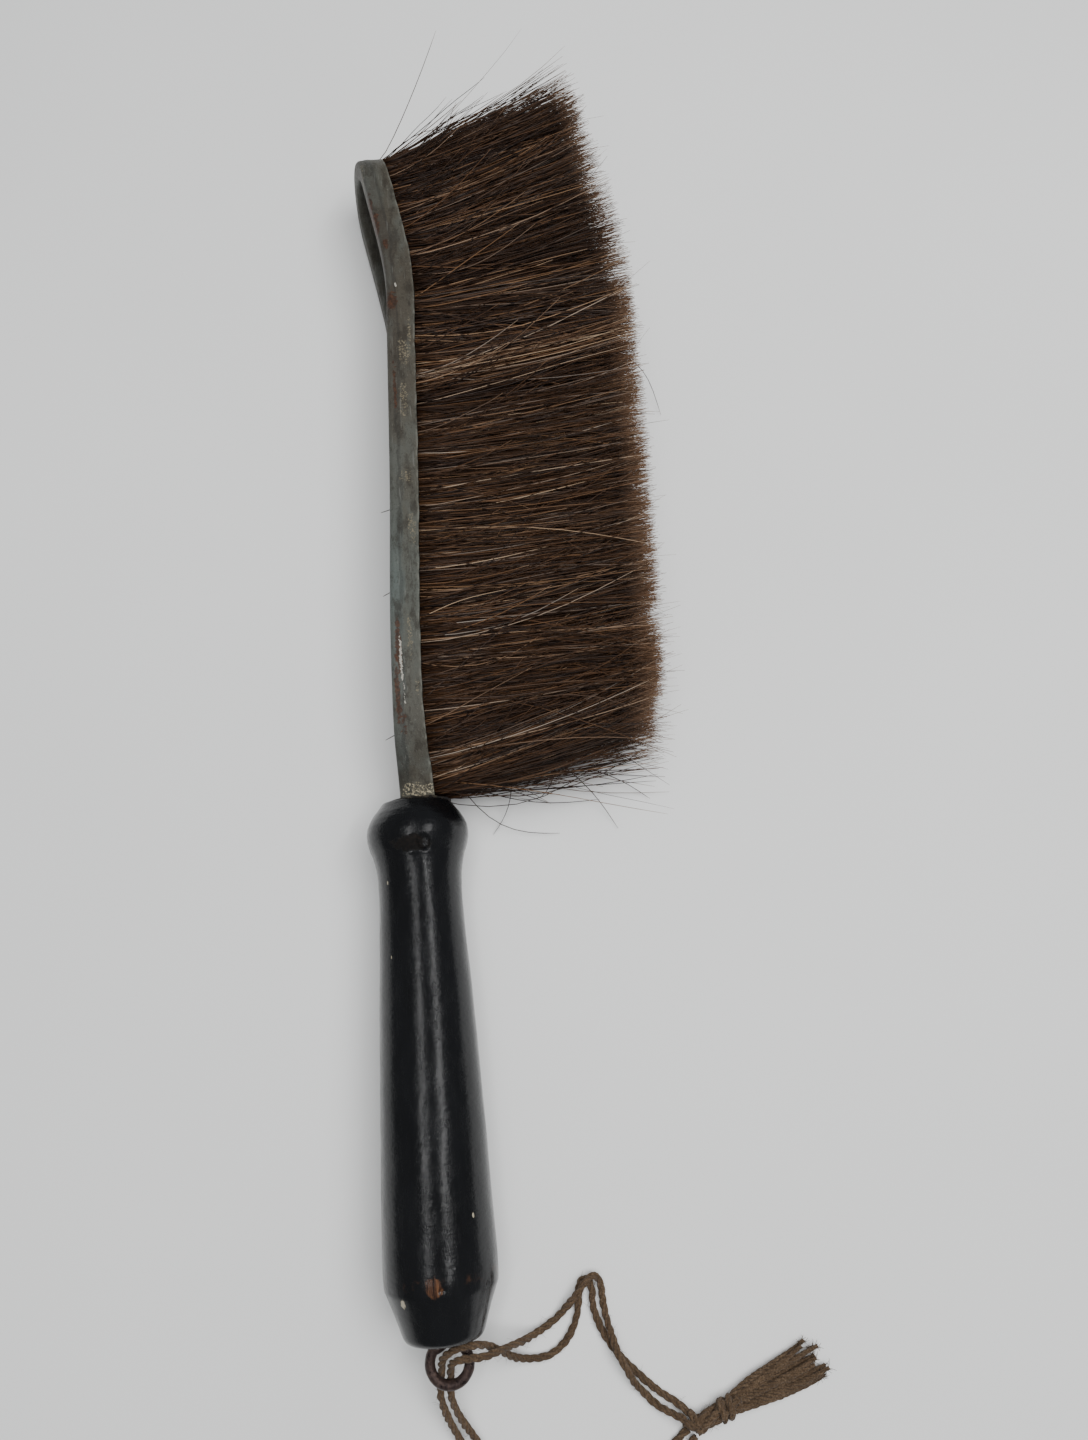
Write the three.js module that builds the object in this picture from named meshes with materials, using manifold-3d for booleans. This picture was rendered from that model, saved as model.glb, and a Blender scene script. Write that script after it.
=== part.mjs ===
// Horsehair clothes brush lying on its side. A channel of sheet steel is bent into a long hairpin,
// horsehair is folded over a core wire and clamped in it, and both ends of the channel are cemented
// and nailed into a turned wooden handle. A screw eye in the handle's end carries a doubled loop of
// twine with a knot and a tassel.
//
// Millimetres. +Y runs along the brush from the eye to the nose, +X points the way the hair points,
// and +Z is up from the surface that the brush lies on. The hairpin lies in the Y-Z plane.

import * as THREE from 'three';
import { mergeVertices } from 'three/addons/utils/BufferGeometryUtils.js';
import Module from 'manifold-3d';

const wasm = await Module();
wasm.setup();

// ---- driving dimensions ----------------------------------------------------------------------

const GAP = 0.3; // clearance between pieces that touch on the real brush

// handle, turned about the Y axis
const HANDLE_R = 12.75; // at its widest, where it rests on the surface
const AXIS_Z = HANDLE_R;
const HANDLE_END = 5.6; // y of the flat end face that the eye is screwed into
const HANDLE_TOP = 124.2; // y of the face that the channel goes into
const END_FACE_R = 7.7;
const SOCKET_R = 8.0;
const SOCKET_DEPTH = 18;

// channel of sheet steel: a U whose open side faces the hair
const SHEET = 0.6;
const CHANNEL_WIDTH = 5.2;
const CHANNEL_CORNER = 0.8;
const CHANNEL_START = 107; // y of both ends, inside the socket
const TURN_Y = 298.6; // y of the centre of the nose's half circle

// hair
const HAIR_START = 125.6; // y of the first hair beside the handle
const HAIR_HALF = CHANNEL_WIDTH / 2 - SHEET - GAP; // half of the tuft's thickness in the channel
const HAIR_FREE = 59; // from the channel's lips to the tips
const HAIR_FLARE = 5; // how far the outer tips stand out along the two runs
const NOSE_FLARE = 19; // and at the very nose
const ROW_INNER = 9.7; // how far the inner tips lean towards the other run
const NOSE_INNER = 9.0;

// wires, nail and cement
const CORE_R = 0.8;
const CORE_CENTRE = SHEET + GAP + CORE_R; // from the channel's closed back
const NAIL_R = 0.8;
const NAIL_HEAD_R = 1.35;
const NAIL_X = 2.3;
const NAIL_Y = 113;
const NAIL_TOP = 11.15; // the head's top, from the handle's axis
const CEMENT_END = HANDLE_TOP + 0.5;

// screw eye
const EYE_R = 4.3; // to the middle of the wire
const EYE_WIRE_R = 1.15;
const EYE_X = 0.9;
const EYE_Y = 0.7;
const SCREW_TIP = 33;

// twine
const TWINE_R = 0.9;
const KNOT_R = 2.6;
const KNOT_FROM = new THREE.Vector3(54.4, -18.8, KNOT_R);
const KNOT_TO = new THREE.Vector3(62.2, -15.6, KNOT_R);
const TASSEL_TO = new THREE.Vector3(83.8, -8.1, KNOT_R);

// The hairpin's middle line. Each station: y, x, z, roll in degrees (positive carries the upper run
// towards the hair), half the distance between the runs, and the channel's depth along the hair.
const STATIONS = [
  [106, 0.9, AXIS_Z, 0, 2.75, 8.4],
  [124, 0.9, AXIS_Z, 0, 2.8, 8.4],
  [131, 0.7, AXIS_Z, 0, 4.1, 8.3],
  [140, 0.1, AXIS_Z, 1, 6.2, 7.8],
  [152, 0.0, 12.8, 2, 8.6, 7.4],
  [170, 0.5, 12.85, 2, 10, 7.4],
  [205, 1.8, 12.9, 3, 10, 7.4],
  [250, 2.7, 12.95, 5, 10, 7.4],
  [264, 2.7, 13.0, 7, 10, 7.4],
  [276, 1.35, 13.1, 9, 10, 7.4],
  [TURN_Y, -2.7, 13.15, 9.5, 10, 7.4],
];

// The twine's two strands, each from the knot through the eye and back to the knot.
const STRAND_A = [
  [51.5, -17.5, 3.4], [48.5, -16.0, 2.8], [45.5, -14.5, 1.4], [43.0, -12.0, 1.2], [41.0, -9.5, 2.2],
  [39.5, -6.5, 3.1], [38.0, -3.5, 3.4], [37.0, 0.0, 3.0], [36.0, 4.0, 1.4], [35.5, 8.0, 1.0],
  [35.3, 11.0, 1.3], [34.3, 12.9, 2.0], [32.5, 12.6, 3.0], [30.0, 10.0, 3.3], [27.5, 7.5, 2.4],
  [24.5, 4.7, 1.3], [21.5, 3.0, 1.7], [18.5, 2.0, 3.5], [16.5, 1.8, 6.0], [14.0, 2.0, 9.5],
  [11.5, 2.0, 12.5], [8.5, 1.8, 14.6], [5.5, 1.9, 15.2], [3.0, 1.7, 15.2], [1.5, 0.9, 14.1],
  [1.0, -0.5, 12.3], [0.8, -2.0, 11.0], [0.5, -4.0, 10.0], [0.5, -7.0, 9.0], [1.5, -11.0, 6.6],
  [3.0, -14.5, 4.2], [5.0, -18.0, 2.3], [8.0, -23.0, 1.1], [12.0, -27.0, 1.0], [18.0, -31.0, 1.0],
  [25.0, -33.0, 1.0], [32.5, -32.5, 1.0], [39.5, -29.5, 1.0], [46.0, -24.5, 1.0], [52.0, -20.0, 1.0],
];
const STRAND_B = [
  [52.5, -16.5, 2.0], [50.0, -14.5, 1.2], [47.0, -12.5, 1.0], [44.0, -10.0, 1.0], [40.5, -6.5, 1.0],
  [37.0, -2.5, 1.0], [34.5, 2.0, 1.0], [33.2, 6.5, 1.0], [33.2, 10.0, 1.0], [32.6, 11.9, 1.0],
  [31.4, 12.3, 1.0], [30.4, 11.0, 1.0], [30.0, 8.0, 1.0], [29.0, 4.0, 1.0], [26.5, 0.0, 1.0],
  [22.5, -2.7, 1.0], [18.5, -3.0, 1.5], [15.0, -2.0, 3.5], [12.5, 0.0, 6.5], [10.5, 2.0, 9.5],
  [8.5, 3.5, 12.5], [6.5, 4.3, 15.0], [4.2, 4.4, 15.8], [2.3, 3.9, 15.8], [0.5, 2.9, 15.1],
  [-0.6, 1.6, 13.8], [-1.0, -0.5, 11.7], [-1.4, -3.0, 10.2], [-1.8, -6.0, 9.4], [-1.5, -9.0, 7.8],
  [-0.5, -13.0, 5.0], [1.5, -18.0, 2.3], [4.0, -23.0, 1.1], [8.5, -29.0, 1.0], [15.5, -34.0, 1.0],
  [25.0, -36.5, 1.0], [34.5, -35.5, 1.0], [42.5, -31.5, 1.0], [48.5, -27.0, 1.0], [53.5, -21.5, 1.3],
];

// ---- looks -----------------------------------------------------------------------------------

const LACQUER = { color: 0x1b1d20, roughness: 0.3, metalness: 0 };
const STEEL = { color: 0x7b7f77, roughness: 0.55, metalness: 0.8 };
const HAIR = { color: 0x46342a, roughness: 0.7, metalness: 0 };
const CORE_STEEL = { color: 0x5d5a55, roughness: 0.6, metalness: 0.9 };
const RUSTED = { color: 0x4a3b36, roughness: 0.6, metalness: 0.7 };
const CEMENT = { color: 0xb5a88c, roughness: 0.95, metalness: 0 };
const TWINE = { color: 0x80705d, roughness: 0.95, metalness: 0 };

// ---- helpers ---------------------------------------------------------------------------------

function named(name, geometry, look) {
  const mesh = new THREE.Mesh(geometry, new THREE.MeshStandardMaterial(look));
  mesh.name = name;
  return mesh;
}

function welded(geometry) {
  const bare = geometry.clone();
  for (const key of Object.keys(bare.attributes)) {
    if (key !== 'position') bare.deleteAttribute(key);
  }
  return mergeVertices(bare, 1e-4);
}

function toSolid(geometry) {
  const mesh = welded(geometry);
  return new wasm.Manifold(new wasm.Mesh({
    numProp: 3,
    vertProperties: new Float32Array(mesh.attributes.position.array),
    triVerts: new Uint32Array(mesh.index.array),
  }));
}

function toGeometry(solid) {
  const mesh = solid.getMesh();
  const geometry = new THREE.BufferGeometry();
  geometry.setAttribute('position', new THREE.BufferAttribute(mesh.vertProperties, 3));
  geometry.setIndex(new THREE.BufferAttribute(mesh.triVerts, 1));
  geometry.computeVertexNormals();
  return geometry;
}

function cut(geometry, ...tools) {
  let solid = toSolid(geometry);
  for (const tool of tools) solid = solid.subtract(toSolid(tool));
  return toGeometry(solid);
}

// A section drawn in (u, v) and carried along t from 0 to 1 by place(u, v, t), which gives a point.
function sweep(section, steps, place) {
  const shape = new THREE.Shape(section.map(([u, v]) => new THREE.Vector2(u, v)));
  const geometry = new THREE.ExtrudeGeometry(shape, { depth: 1, steps, bevelEnabled: false });
  const position = geometry.attributes.position;
  for (let i = 0; i < position.count; i++) {
    const p = place(position.getX(i), position.getY(i), position.getZ(i));
    position.setXYZ(i, p.x, p.y, p.z);
  }
  return welded(geometry);
}

function circleSection(radius, sides) {
  const points = [];
  for (let i = 0; i < sides; i++) {
    const angle = (2 * Math.PI * i) / sides;
    points.push([radius * Math.cos(angle), radius * Math.sin(angle)]);
  }
  return points;
}

// A closed cylinder from one point to the other.
function rod(from, to, radius, sides = 20) {
  const geometry = new THREE.CylinderGeometry(radius, radius, from.distanceTo(to), sides);
  const along = new THREE.Vector3().subVectors(to, from).normalize();
  const turn = new THREE.Quaternion().setFromUnitVectors(new THREE.Vector3(0, 1, 0), along);
  geometry.applyQuaternion(turn);
  geometry.translate(...new THREE.Vector3().addVectors(from, to).multiplyScalar(0.5).toArray());
  return geometry;
}

// ---- the hairpin's path ----------------------------------------------------------------------

// Smooth value of one column of STATIONS at y: a cubic between stations.
function station(column, y) {
  const last = STATIONS.length - 1;
  let i = 0;
  while (i < last - 1 && y > STATIONS[i + 1][0]) i++;
  const slope = (k) => {
    const before = STATIONS[Math.max(k - 1, 0)];
    const after = STATIONS[Math.min(k + 1, last)];
    return (after[column] - before[column]) / (after[0] - before[0]);
  };
  const [from, to] = [STATIONS[i], STATIONS[i + 1]];
  const span = to[0] - from[0];
  const t = (y - from[0]) / span;
  return (2 * t ** 3 - 3 * t ** 2 + 1) * from[column]
    + (t ** 3 - 2 * t ** 2 + t) * span * slope(i)
    + (3 * t ** 2 - 2 * t ** 3) * to[column]
    + (t ** 3 - t ** 2) * span * slope(i + 1);
}

// The middle line at y: its place, the way along it, the way to the upper run, and the hair's way.
function spine(y) {
  const step = 0.5;
  const ahead = Math.min(y + step, TURN_Y);
  const lean = (station(1, ahead) - station(1, y - step)) / (ahead - y + step);
  const along = new THREE.Vector3(lean, 1, 0).normalize();
  const side = new THREE.Vector3().crossVectors(along, new THREE.Vector3(0, 0, 1));
  const roll = THREE.MathUtils.degToRad(station(3, y));
  const up = new THREE.Vector3(0, 0, Math.cos(roll)).addScaledVector(side, Math.sin(roll));
  const reach = new THREE.Vector3().crossVectors(along, up).normalize();
  return {
    at: new THREE.Vector3(station(1, y), y, station(2, y)),
    along, up, reach, half: station(4, y), depth: station(5, y),
  };
}

// A point of the channel's middle on one run (side 1 is the upper one) with its outward normal.
function onRun(y, side) {
  const s = spine(y);
  const out = s.up.clone().multiplyScalar(side);
  return { at: s.at.clone().addScaledVector(out, s.half), out, reach: s.reach, depth: s.depth };
}

// The same on the nose's half circle: angle 0 meets the upper run and pi the lower one.
function onNose(angle) {
  const s = spine(TURN_Y);
  const out = s.up.clone().multiplyScalar(Math.cos(angle)).addScaledVector(s.along, Math.sin(angle));
  return { at: s.at.clone().addScaledVector(out, s.half), out, reach: s.reach, depth: s.depth };
}

// The whole hairpin from one end, y = start, round the nose and back, for t from 0 to 1.
const RUN_STEPS = 30;
const NOSE_STEPS = 14;
const HAIRPIN_STEPS = 2 * RUN_STEPS + NOSE_STEPS;
function onHairpin(t, start) {
  const step = t * HAIRPIN_STEPS;
  const run = (share) => start + (TURN_Y - start) * share;
  if (step <= RUN_STEPS) return onRun(run(step / RUN_STEPS), 1);
  if (step >= RUN_STEPS + NOSE_STEPS) return onRun(run((HAIRPIN_STEPS - step) / RUN_STEPS), -1);
  return onNose((Math.PI * (step - RUN_STEPS)) / NOSE_STEPS);
}

function placed(frame, outward, alongHair) {
  return frame.at.clone().addScaledVector(frame.out, outward).addScaledVector(frame.reach, alongHair);
}

// ---- metalwork -------------------------------------------------------------------------------

function channelStrip() {
  const w = CHANNEL_WIDTH / 2;
  const inner = w - SHEET;
  // u outward from the hairpin, v from the closed back (0) to the lips (1), sheet and corner in mm
  const outline = [
    [w, 'lip'], [inner, 'lip'], [inner, SHEET], [-inner, SHEET], [-inner, 'lip'], [-w, 'lip'],
    [-w, CHANNEL_CORNER], [CHANNEL_CORNER - w, 0], [w - CHANNEL_CORNER, 0], [w, CHANNEL_CORNER],
  ];
  const lipMark = 100; // stands for the full depth, which changes along the path
  const section = outline.map(([u, v]) => [u, v === 'lip' ? lipMark : v]).reverse();
  const strip = sweep(section, HAIRPIN_STEPS, (u, v, t) => {
    const frame = onHairpin(t, CHANNEL_START);
    const height = v === lipMark ? frame.depth : v;
    return placed(frame, u, height - frame.depth / 2);
  });
  return named('channel_strip', cut(strip, nailHole()), STEEL);
}

function coreWire() {
  const wire = sweep(circleSection(CORE_R, 6), HAIRPIN_STEPS, (u, v, t) => {
    const frame = onHairpin(t, CHANNEL_START + 1);
    return placed(frame, u, v + CORE_CENTRE - frame.depth / 2);
  });
  return named('core_wire', wire, CORE_STEEL);
}

function nailHole() {
  const low = new THREE.Vector3(NAIL_X, NAIL_Y, 2.2);
  const high = new THREE.Vector3(NAIL_X, NAIL_Y, 2 * HANDLE_R);
  return rod(low, high, NAIL_R + GAP, 12);
}

function retainingNail() {
  const top = AXIS_Z + NAIL_TOP;
  const profile = [
    [0, 2.8], [NAIL_R * 0.5, 3.4], [NAIL_R, 4.4], [NAIL_R, top - 0.7],
    [NAIL_HEAD_R, top - 0.5], [NAIL_HEAD_R, top - 0.15], [NAIL_HEAD_R * 0.7, top], [0, top],
  ].map(([r, h]) => new THREE.Vector2(r, h));
  const geometry = new THREE.LatheGeometry(profile, 16);
  geometry.rotateX(Math.PI / 2);
  geometry.translate(NAIL_X, NAIL_Y, 0);
  return named('retaining_nail', welded(geometry), CORE_STEEL);
}

function screwEye() {
  const start = THREE.MathUtils.degToRad(140);
  const sweepAngle = THREE.MathUtils.degToRad(278);
  const points = [
    [0, SCREW_TIP], [0, 24], [0, 14], [0, 7], [0, 5.3], [-0.35, 4.5], [-1.2, 3.95],
  ].map(([x, y]) => new THREE.Vector3(x, y, AXIS_Z));
  const ringPoints = 18;
  for (let i = 0; i <= ringPoints; i++) {
    const angle = start + (sweepAngle * i) / ringPoints;
    const x = EYE_X + EYE_R * Math.cos(angle);
    points.push(new THREE.Vector3(x, EYE_Y + EYE_R * Math.sin(angle), AXIS_Z));
  }
  const path = new THREE.CatmullRomCurve3(points, false, 'centripetal');
  const up = new THREE.Vector3(0, 0, 1);
  const pointShare = 0.14; // of the path, where the screw tapers to its point
  const eye = sweep(circleSection(EYE_WIRE_R, 8), 64, (u, v, t) => {
    const side = new THREE.Vector3().crossVectors(up, path.getTangentAt(t)).normalize();
    const taper = Math.min(1, 0.25 + (0.75 * t) / pointShare);
    return path.getPointAt(t).addScaledVector(side, u * taper).addScaledVector(up, v * taper);
  });
  return named('screw_eye', eye, RUSTED);
}

// ---- handle and cement -----------------------------------------------------------------------

function handle() {
  const body = new THREE.SplineCurve([
    [12.55, 16.4], [HANDLE_R - 0.05, 18.0], [HANDLE_R, 19.6], [12.7, 24.2], [12.35, 37], [11.75, 56],
    [10.95, 78], [10.35, 90], [10.0, 99], [10.05, 104.5], [10.3, 107.8], [11.0, 111.2], [11.85, 113.6],
    [12.3, 116], [12.15, 118.2], [11.5, 119.9], [10.4, 121.7], [9.2, 123.2],
  ].map(([r, y]) => new THREE.Vector2(r, y)));
  const profile = [
    new THREE.Vector2(0, HANDLE_END), new THREE.Vector2(END_FACE_R, HANDLE_END),
    new THREE.Vector2(END_FACE_R + 0.8, HANDLE_END + 0.35),
    new THREE.Vector2(END_FACE_R + 1.25, HANDLE_END + 1.1),
    ...body.getPoints(34),
    new THREE.Vector2(SOCKET_R + 0.5, HANDLE_TOP), new THREE.Vector2(0, HANDLE_TOP),
  ];
  const turned = new THREE.LatheGeometry(profile, 40).translate(0, 0, AXIS_Z);
  const socketX = STATIONS[0][1];
  const socket = rod(
    new THREE.Vector3(socketX, HANDLE_TOP - SOCKET_DEPTH, AXIS_Z),
    new THREE.Vector3(socketX, HANDLE_TOP + 1, AXIS_Z), SOCKET_R, 32,
  );
  const screwHole = rod(
    new THREE.Vector3(0, HANDLE_END - 1, AXIS_Z), new THREE.Vector3(0, SCREW_TIP + 1, AXIS_Z),
    EYE_WIRE_R + GAP, 16,
  );
  const headSeat = rod(
    new THREE.Vector3(NAIL_X, NAIL_Y, AXIS_Z + NAIL_TOP - 1.1),
    new THREE.Vector3(NAIL_X, NAIL_Y, AXIS_Z + 13), NAIL_HEAD_R + GAP, 16,
  );
  return named('handle', cut(turned, socket, screwHole, nailHole(), headSeat), LACQUER);
}

// Cement round the channel's two ends in the socket, seen as a crust at its mouth.
function cementCollar() {
  const [, x, , , half, depth] = STATIONS[0];
  const bottom = HANDLE_TOP - SOCKET_DEPTH + GAP;
  const plug = rod(
    new THREE.Vector3(x, bottom, AXIS_Z), new THREE.Vector3(x, CEMENT_END, AXIS_Z), SOCKET_R - GAP, 32,
  );
  const clear = GAP + 0.05;
  const ends = new THREE.BoxGeometry(
    depth + 2 * clear, 2 * SOCKET_DEPTH, 2 * half + CHANNEL_WIDTH + 2 * clear + 0.1,
  );
  ends.translate(x, HANDLE_TOP, AXIS_Z);
  return named('cement_collar', cut(plug, ends, nailHole()), CEMENT);
}

// ---- hair ------------------------------------------------------------------------------------

// One length of hair: u from the hairpin's inside (-1) to its outside (1), v from root to tip.
function hairSection() {
  return [[-1, 0], [1, 0], [1, 0.07], [1, 0.5], [1, 1], [0, 1.02], [-1, 1], [-1, 0.5], [-1, 0.07]];
}

function hairPoint(frame, u, v, outer, inner) {
  const root = CORE_CENTRE + CORE_R + GAP - frame.depth / 2;
  const tip = frame.depth / 2 + HAIR_FREE;
  const lip = 0.07;
  const flared = Math.max(0, (v - lip) / (1 - lip));
  const outward = u > 0
    ? u * (HAIR_HALF + outer * flared)
    : u * (HAIR_HALF + (inner - HAIR_HALF) * flared);
  return placed(frame, outward, root + (tip - root) * v);
}

function pressedFlat(geometry) {
  const above = new THREE.BoxGeometry(400, 800, 200).translate(0, 100, 100);
  return toGeometry(toSolid(geometry).intersect(toSolid(above)));
}

function hairRow(name, side) {
  const end = TURN_Y - GAP;
  const row = sweep(hairSection(), 18, (u, v, t) => {
    const share = side > 0 ? t : 1 - t;
    const frame = onRun(HAIR_START + (end - HAIR_START) * share, side);
    const inner = Math.min(ROW_INNER, spine(frame.at.y).half - GAP);
    return hairPoint(frame, u, v, HAIR_FLARE, Math.max(inner, HAIR_HALF));
  });
  return named(name, pressedFlat(row), HAIR);
}

function hairNose() {
  const nose = sweep(hairSection(), 14, (u, v, t) => {
    const angle = Math.PI * t;
    const outer = HAIR_FLARE + (NOSE_FLARE - HAIR_FLARE) * Math.sin(angle) ** 2;
    return hairPoint(onNose(angle), u, v, outer, NOSE_INNER);
  });
  return named('hair_nose', pressedFlat(nose), HAIR);
}

// ---- twine -----------------------------------------------------------------------------------

function twineStrand(name, route) {
  const path = new THREE.CatmullRomCurve3(route.map((p) => new THREE.Vector3(...p)));
  const section = new THREE.Shape(circleSection(TWINE_R, 8).map(([u, v]) => new THREE.Vector2(u, v)));
  const tube = new THREE.ExtrudeGeometry(section, { steps: 112, extrudePath: path, bevelEnabled: false });
  return named(name, welded(tube), TWINE);
}

function twineKnot() {
  const length = KNOT_FROM.distanceTo(KNOT_TO);
  const capPoints = 5;
  const profile = [];
  for (let i = 0; i <= capPoints; i++) {
    const angle = (Math.PI / 2) * (i / capPoints);
    profile.push(new THREE.Vector2(KNOT_R * Math.sin(angle), -KNOT_R * Math.cos(angle)));
  }
  for (let i = 0; i <= capPoints; i++) {
    const angle = (Math.PI / 2) * (i / capPoints);
    profile.push(new THREE.Vector2(KNOT_R * Math.cos(angle), length + KNOT_R * Math.sin(angle)));
  }
  profile[0].x = 0;
  profile[profile.length - 1].x = 0;
  const along = new THREE.Vector3().subVectors(KNOT_TO, KNOT_FROM).normalize();
  const geometry = new THREE.LatheGeometry(profile, 14);
  geometry.applyQuaternion(new THREE.Quaternion().setFromUnitVectors(new THREE.Vector3(0, 1, 0), along));
  geometry.translate(...KNOT_FROM.toArray());
  return named('twine_knot', welded(geometry), TWINE);
}

// The frayed ends beyond the knot: a flat fan that lies on the surface.
function twineTassel() {
  const along = new THREE.Vector3().subVectors(TASSEL_TO, KNOT_TO).normalize();
  const start = KNOT_TO.clone().addScaledVector(along, KNOT_R + GAP);
  const length = start.distanceTo(TASSEL_TO);
  const side = new THREE.Vector3().crossVectors(new THREE.Vector3(0, 0, 1), along);
  const section = [[-1, 0], [1, 0], [1, 0.4], [0.6, 1], [-0.6, 1], [-1, 0.4]];
  const fan = sweep(section, 6, (u, v, t) => {
    const halfWidth = 2.3 + 3.5 * t;
    const height = 3.9 - 1.9 * t;
    const p = start.clone().addScaledVector(along, length * t).addScaledVector(side, u * halfWidth);
    p.z = v * height + 0.02;
    return p;
  });
  return named('twine_tassel', fan, TWINE);
}

// ---- assembly --------------------------------------------------------------------------------

const brush = new THREE.Group();
brush.add(
  handle(), cementCollar(), retainingNail(), screwEye(), channelStrip(), coreWire(),
  hairRow('hair_upper_row', 1), hairNose(), hairRow('hair_lower_row', -1),
);

// The origin is under the middle of the brush without its twine, on the surface that it lies on.
const box = new THREE.Box3().setFromObject(brush);
const centre = box.getCenter(new THREE.Vector3());
brush.add(
  twineStrand('twine_strand_a', STRAND_A), twineStrand('twine_strand_b', STRAND_B),
  twineKnot(), twineTassel(),
);
brush.position.set(-centre.x, -centre.y, -box.min.z);

const group = new THREE.Group();
group.add(brush);

export default group;
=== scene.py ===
import math

import bpy
import numpy as np
from mathutils import Matrix, Vector, noise


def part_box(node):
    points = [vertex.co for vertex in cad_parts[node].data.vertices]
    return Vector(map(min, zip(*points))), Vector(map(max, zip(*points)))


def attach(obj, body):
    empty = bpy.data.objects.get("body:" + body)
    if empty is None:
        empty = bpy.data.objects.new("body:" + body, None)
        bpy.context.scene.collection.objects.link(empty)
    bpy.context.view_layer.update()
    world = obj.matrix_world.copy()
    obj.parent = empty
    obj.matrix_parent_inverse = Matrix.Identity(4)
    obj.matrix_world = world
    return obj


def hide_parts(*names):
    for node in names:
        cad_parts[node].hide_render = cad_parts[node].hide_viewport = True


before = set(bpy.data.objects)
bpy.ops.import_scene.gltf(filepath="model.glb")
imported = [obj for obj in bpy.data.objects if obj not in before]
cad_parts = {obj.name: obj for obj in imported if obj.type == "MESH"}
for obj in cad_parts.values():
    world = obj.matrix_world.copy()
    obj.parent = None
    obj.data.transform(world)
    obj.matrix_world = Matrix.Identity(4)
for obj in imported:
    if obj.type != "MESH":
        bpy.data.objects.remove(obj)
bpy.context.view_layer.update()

# Shapes are worked out in the brush's own frame, in millimetres: +Y from the eye to the nose with the
# screw eye near y = 0, +X the way the hair points, +Z up, and the handle's axis at x = 0.
MM = 0.001
HANDLE_END = 5.6
HANDLE_TOP = 124.2
HANDLE_R = 12.75
AXIS_Z = HANDLE_R
HANDLE_LOW, HANDLE_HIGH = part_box("handle")
ORIGIN = np.array([(HANDLE_LOW.x + HANDLE_HIGH.x) / 2, HANDLE_LOW.y - HANDLE_END * MM, 0.0])

# channel and hair
CHANNEL_START = 107.0
CHANNEL_DEPTH = 7.4
SHEET = 0.6
TURN_Y = 298.6
TURN_R = 10.0
QUARTER = TURN_R * math.pi / 2
HAIR_START = 125.6
HAIR_FREE = 59.0
HAIR_HALF = 1.7
HAIR_FLARE = 5.0
NOSE_FLARE = 19.0
ROW_INNER = 9.4
HAIR_R = 0.13

# eye and twine
EYE_R = 4.3
EYE_WIRE_R = 1.15
EYE_CENTRE = (0.9, 0.7)
TWINE_R = 0.9
KNOT_FROM = np.array([54.4, -18.8, 2.6])
KNOT_TO = np.array([62.2, -15.6, 2.6])
TASSEL_TO = np.array([83.8, -8.1, 2.0])

# The hairpin's middle line: y, x, z, roll in degrees, half the distance between the runs, depth.
STATIONS = np.array([
    (106, 0.9, 12.75, 0, 2.75, 8.4),
    (124, 0.9, 12.75, 0, 2.8, 8.4),
    (131, 0.7, 12.75, 0, 4.1, 8.3),
    (140, 0.1, 12.75, 1, 6.2, 7.8),
    (152, 0.0, 12.8, 2, 8.6, 7.4),
    (170, 0.5, 12.85, 2, 10, 7.4),
    (205, 1.8, 12.9, 3, 10, 7.4),
    (250, 2.7, 12.95, 5, 10, 7.4),
    (264, 2.7, 13.0, 7, 10, 7.4),
    (276, 1.35, 13.1, 9, 10, 7.4),
    (TURN_Y, -2.7, 13.15, 9.5, 10, 7.4),
])

STRAND_A = [
    (51.5, -17.5, 3.4), (48.5, -16.0, 2.8), (45.5, -14.5, 1.4), (43.0, -12.0, 1.2), (41.0, -9.5, 2.2),
    (39.5, -6.5, 3.1), (38.0, -3.5, 3.4), (37.0, 0.0, 3.0), (36.0, 4.0, 1.4), (35.5, 8.0, 1.0),
    (35.3, 11.0, 1.3), (34.3, 12.9, 2.0), (32.5, 12.6, 3.0), (30.0, 10.0, 3.3), (27.5, 7.5, 2.4),
    (24.5, 4.7, 1.3), (21.5, 3.0, 1.7), (18.5, 2.0, 3.5), (16.5, 1.8, 6.0), (14.0, 2.0, 9.5),
    (11.5, 2.0, 12.5), (8.5, 1.8, 14.6), (5.5, 1.9, 15.2), (3.0, 1.7, 15.2), (1.5, 0.9, 14.1),
    (1.0, -0.5, 12.3), (0.8, -2.0, 11.0), (0.5, -4.0, 10.0), (0.5, -7.0, 9.0), (1.5, -11.0, 6.6),
    (3.0, -14.5, 4.2), (5.0, -18.0, 2.3), (8.0, -23.0, 1.1), (12.0, -27.0, 1.0), (18.0, -31.0, 1.0),
    (25.0, -33.0, 1.0), (32.5, -32.5, 1.0), (39.5, -29.5, 1.0), (46.0, -24.5, 1.0), (52.0, -20.0, 1.0),
]
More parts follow.
